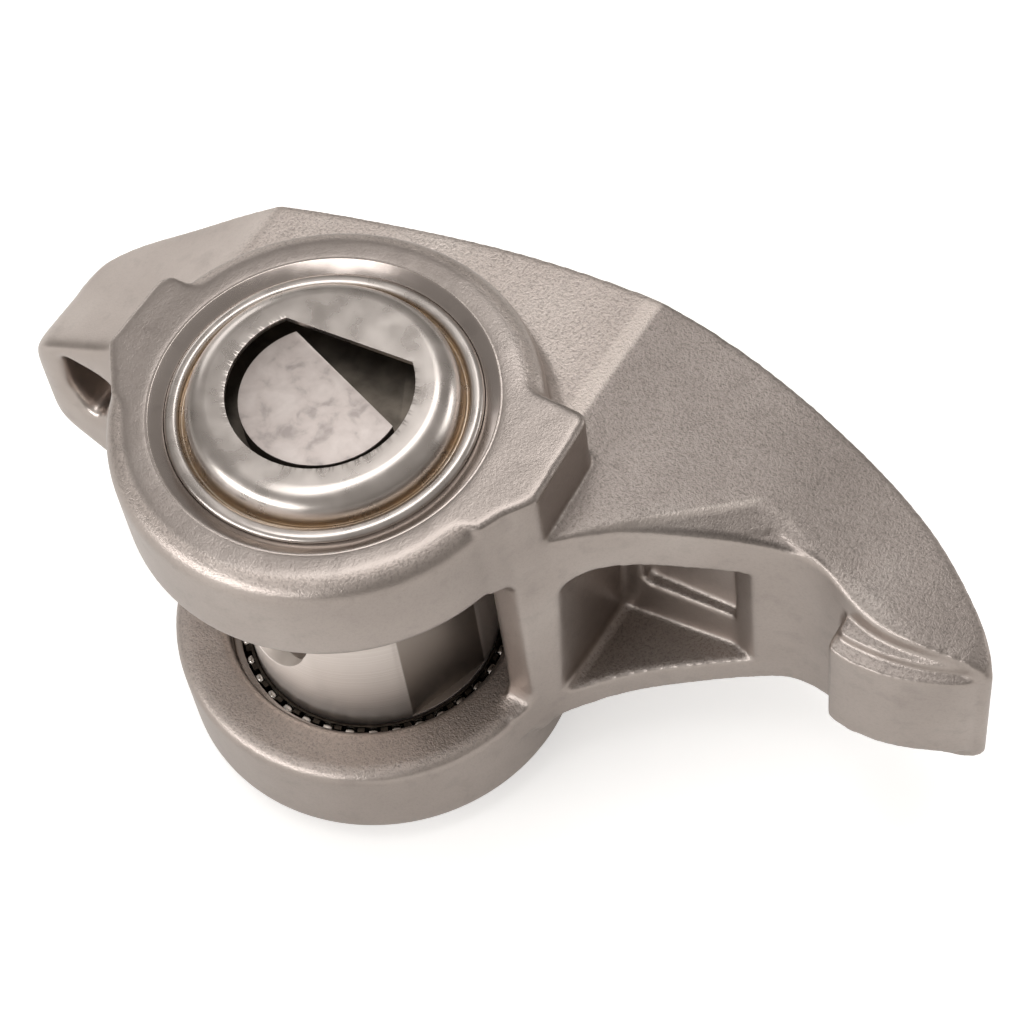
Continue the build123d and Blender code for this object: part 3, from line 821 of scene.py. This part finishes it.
# Camera, fitted to the photograph: place in metres, right and up directions, and focal length in pixels
CAMERA_PLACE = Vector((0.19261, -0.18765, 0.42010))
CAMERA_RIGHT = Vector((0.84378, 0.52959, -0.08703))
CAMERA_UP = Vector((-0.41090, 0.74177, 0.53000))
FOCAL_PIXELS, PICTURE_PIXELS, SENSOR_WIDTH = 2900, 1024, 36


def photo_camera():
    """The camera at the photograph's angle."""
    data = bpy.data.cameras.new("camera")
    data.sensor_width = SENSOR_WIDTH
    data.lens = SENSOR_WIDTH * FOCAL_PIXELS / PICTURE_PIXELS
    data.clip_start, data.clip_end = 0.01, 20
    camera = bpy.data.objects.new("camera", data)
    right = CAMERA_RIGHT.normalized()
    up = (CAMERA_UP - right * CAMERA_UP.dot(right)).normalized()
    turn = Matrix((right, up, right.cross(up))).transposed()
    camera.matrix_world = Matrix.Translation(CAMERA_PLACE) @ turn.to_4x4()
    bpy.context.scene.collection.objects.link(camera)
    bpy.context.scene.camera = camera


forging = blasted_forging()
sheet = drawn_sheet()
ground = ground_steel()
# The cage is coloured very dark as painted shade of the deep gap between shaft and cup
cage_steel = oiled_steel("oiled_cage_sheet_painted_dark", "#3f3a35", "#585149", 0.4)
roller_steel = oiled_steel("polished_roller_steel", "#c5c1bc", "#dedad5", 0.1)
cad_finish = {
    "forged_steel": forging, "ground_steel": ground, "cup_steel": sheet, "cage_steel": cage_steel,
    "roller_steel": roller_steel,
}
for row in frame["record"]["subparts"]:
    mesh = frame["nodes"][row["node"]].data
    mesh.materials.clear()
    mesh.materials.append(cad_finish[row["material_slot"]])

finished(forged_lever(), forging, "lever", "forged_steel", "lever_arm")
finished(bore_lip("upper_bore_lip", 1), forging, "lever", "forged_steel")
finished(bore_lip("lower_bore_lip", -1), forging, "lever", "forged_steel")
upper_cup = drawn_cup()
lower_cup = smooth_shaded(flipped_down(upper_cup, "lower_cup"), 40)
finished(upper_cup, sheet, "lever", "cup_steel", "upper_bearing_cup")
finished(lower_cup, sheet, "lever", "cup_steel", "lower_bearing_cup")
finished(ground_shaft(), ground, "shaft", "ground_steel", "rocker_shaft")

upper_cage = needle_cage()
lower_cage = smooth_shaded(flipped_down(upper_cage, "lower_cage"), 40)
finished(upper_cage, cage_steel, "upper_needle_set", "cage_steel", "upper_needle_cage")
finished(lower_cage, cage_steel, "lower_needle_set", "cage_steel", "lower_needle_cage")

pattern = needle_roller()
upper_rollers = [roller_copy(pattern, f"upper_roller_{n + 1:02d}", n, 1) for n in range(NEEDLE_COUNT)]
active(upper_rollers[0])
for piece in upper_rollers[1:]:
    piece.select_set(True)
bpy.ops.object.join()
finished(named("upper_rollers"), roller_steel, "upper_needle_set", "roller_steel", "upper_needle_rollers")
for number in range(NEEDLE_COUNT):
    piece = roller_copy(pattern, f"lower_roller_{number + 1:02d}", number, -1)
    solid = f"lower_needle_roller_{number + 1:02d}"
    finished(piece, roller_steel, "lower_needle_set", "roller_steel", solid)
bpy.data.objects.remove(pattern)

pale_floor(-CUP_FACE * MM)
studio()
photo_camera()
bpy.context.scene.view_settings.view_transform = "Standard"
